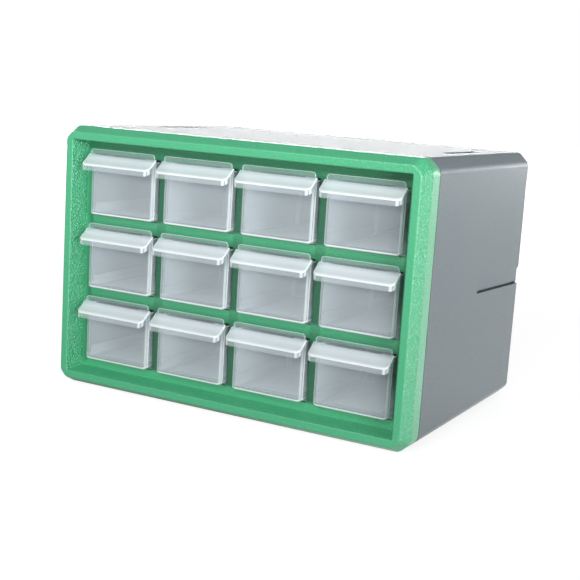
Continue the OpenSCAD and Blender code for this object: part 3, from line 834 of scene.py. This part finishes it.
# shelves and partitions keep their own solids and take the rack's grey
for name in ("shelf_bottom", "shelf_lower", "shelf_upper",
             "partition_left", "partition_middle", "partition_right"):
    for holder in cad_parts[name].material_slots:
        holder.material = rackPlastic
print("rack dressed")

# floor, light and camera, in metres
stageLook = dict(floorHalf=6.0, floorColour=(0.3, 0.3, 0.3), liftNear=0.85, liftFar=1.0,
                 nearEnd=0.5, farStart=1.2, glossAxis=(1, 1, 0), glossFront=0.4, glossRear=1.6,
                 glossFrom=-0.1, glossTo=0.25, worldColour=(1, 1, 1), worldLight=0.25,
                 backdrop=1.0, ceiling=0.25, backdropLow=0.2, backdropHigh=0.42)
lamps = [dict(name="rightBox", at=(2.0, -1.0, 0.4), aim=(0, 0, 0.53),
              size=(1.2, 1.2), watts=7.6, spread=50),
         dict(name="frontBox", at=(0.05, -0.92, 0.6), aim=(0, -0.1, 0.4),
              size=(0.8, 0.3), watts=2.95, spread=100),
         dict(name="backWall", at=(-0.8, 2.6, 0.3), aim=(0, 0, 0.1),
              size=(3.4, 0.4), watts=88.0, spread=180)]
viewpoint = dict(at=(0.424721, -0.784943, 0.239440), yaw=0.4686, pitch=-0.175, roll=0.0691,
                 lens=70.329, sensor=36.0, shiftX=-0.0603, nearest=0.01)


# the floor glows for the eye, a little less round the object, where its shadow falls;
# in gloss it runs from dim in front and at the left to bright behind and at the right
def paleFloor():
    mat = bpy.data.materials.new("paleFloor")
    mat.use_nodes = True
    tree = mat.node_tree
    tree.nodes.clear()
    matt = tree.nodes.new("ShaderNodeBsdfDiffuse")
    feed(tree, matt.inputs["Color"], stageLook["floorColour"])
    glow = tree.nodes.new("ShaderNodeEmission")
    both = tree.nodes.new("ShaderNodeAddShader")
    output = tree.nodes.new("ShaderNodeOutputMaterial")
    place = tree.nodes.new("ShaderNodeTexCoord")
    away = tree.nodes.new("ShaderNodeVectorMath")
    away.operation = "LENGTH"
    tree.links.new(place.outputs["Object"], away.inputs[0])
    lift = rangeOf(tree, away.outputs["Value"], stageLook["liftNear"], stageLook["liftFar"],
                   stageLook["nearEnd"], stageLook["farStart"])
    across = tree.nodes.new("ShaderNodeVectorMath")
    across.operation = "DOT_PRODUCT"
    across.inputs[1].default_value = stageLook["glossAxis"]
    tree.links.new(place.outputs["Object"], across.inputs[0])
    shine = rangeOf(tree, across.outputs["Value"], stageLook["glossFront"], stageLook["glossRear"],
                    stageLook["glossFrom"], stageLook["glossTo"])
    seen = sumOf(tree, "MULTIPLY", raysOf(tree, "Is Camera Ray", "Is Transmission Ray"), lift)
    mirrored = sumOf(tree, "MULTIPLY", raysOf(tree, "Is Glossy Ray"), shine)
    tree.links.new(sumOf(tree, "ADD", seen, mirrored), glow.inputs["Strength"])
    tree.links.new(matt.outputs["BSDF"], both.inputs[0])
    tree.links.new(glow.outputs["Emission"], both.inputs[1])
    tree.links.new(both.outputs["Shader"], output.inputs["Surface"])
    return mat


def buildFloor():
    half = stageLook["floorHalf"]
    corners = [(-half, -half, 0), (half, -half, 0), (half, half, 0), (-half, half, 0)]
    mesh = bpy.data.meshes.new("floor")
    mesh.from_pydata(corners, [], [(0, 1, 2, 3)])
    mesh.materials.append(paleFloor())
    floor = bpy.data.objects.new("floor", mesh)
    scene.collection.objects.link(floor)


# the backdrop is white up to a low height and the ceiling over it dim, as seen, mirrored
# and through clear walls alike
def buildWorld():
    world = bpy.data.worlds.new("studio")
    world.use_nodes = True
    scene.world = world
    tree = world.node_tree
    back = tree.nodes["Background"]
    feed(tree, back.inputs["Color"], stageLook["worldColour"])
    around = tree.nodes.new("ShaderNodeTexCoord")
    axes = tree.nodes.new("ShaderNodeSeparateXYZ")
    tree.links.new(around.outputs["Generated"], axes.inputs[0])
    shown = rangeOf(tree, axes.outputs["Z"], stageLook["backdrop"], stageLook["ceiling"],
                    stageLook["backdropLow"], stageLook["backdropHigh"])
    seen = raysOf(tree, "Is Camera Ray", "Is Transmission Ray", "Is Glossy Ray")
    light = rangeOf(tree, seen, stageLook["worldLight"], shown, 0, 1)
    tree.links.new(light, back.inputs["Strength"])


def buildLamps():
    for look in lamps:
        lamp = bpy.data.lights.new(look["name"], "AREA")
        lamp.shape = "RECTANGLE"
        lamp.size, lamp.size_y = look["size"]
        lamp.energy = look["watts"]
        lamp.spread = math.radians(look["spread"])
        holder = bpy.data.objects.new(look["name"], lamp)
        holder.location = look["at"]
        aim = Vector(look["aim"]) - Vector(look["at"])
        holder.rotation_euler = aim.to_track_quat("-Z", "Y").to_euler()
        holder.visible_camera = False
        scene.collection.objects.link(holder)


def buildCamera():
    yaw, pitch, roll = viewpoint["yaw"], viewpoint["pitch"], viewpoint["roll"]
    ahead = Vector((-math.sin(yaw) * math.cos(pitch), math.cos(yaw) * math.cos(pitch), math.sin(pitch)))
    level = Vector((math.cos(yaw), math.sin(yaw), 0))
    upright = level.cross(ahead)
    right = level * math.cos(roll) + upright * math.sin(roll)
    up = upright * math.cos(roll) - level * math.sin(roll)
    lens = bpy.data.cameras.new("camera")
    lens.sensor_width = viewpoint["sensor"]
    lens.lens = viewpoint["lens"]
    lens.shift_x = viewpoint["shiftX"]
    lens.clip_start = viewpoint["nearest"]
    holder = bpy.data.objects.new("camera", lens)
    turn = Matrix((right, up, -ahead)).transposed()
    holder.matrix_world = Matrix.Translation(viewpoint["at"]) @ turn.to_4x4()
    scene.collection.objects.link(holder)
    scene.camera = holder


buildFloor()
buildWorld()
buildLamps()
buildCamera()
print("stage, lamps and camera set")
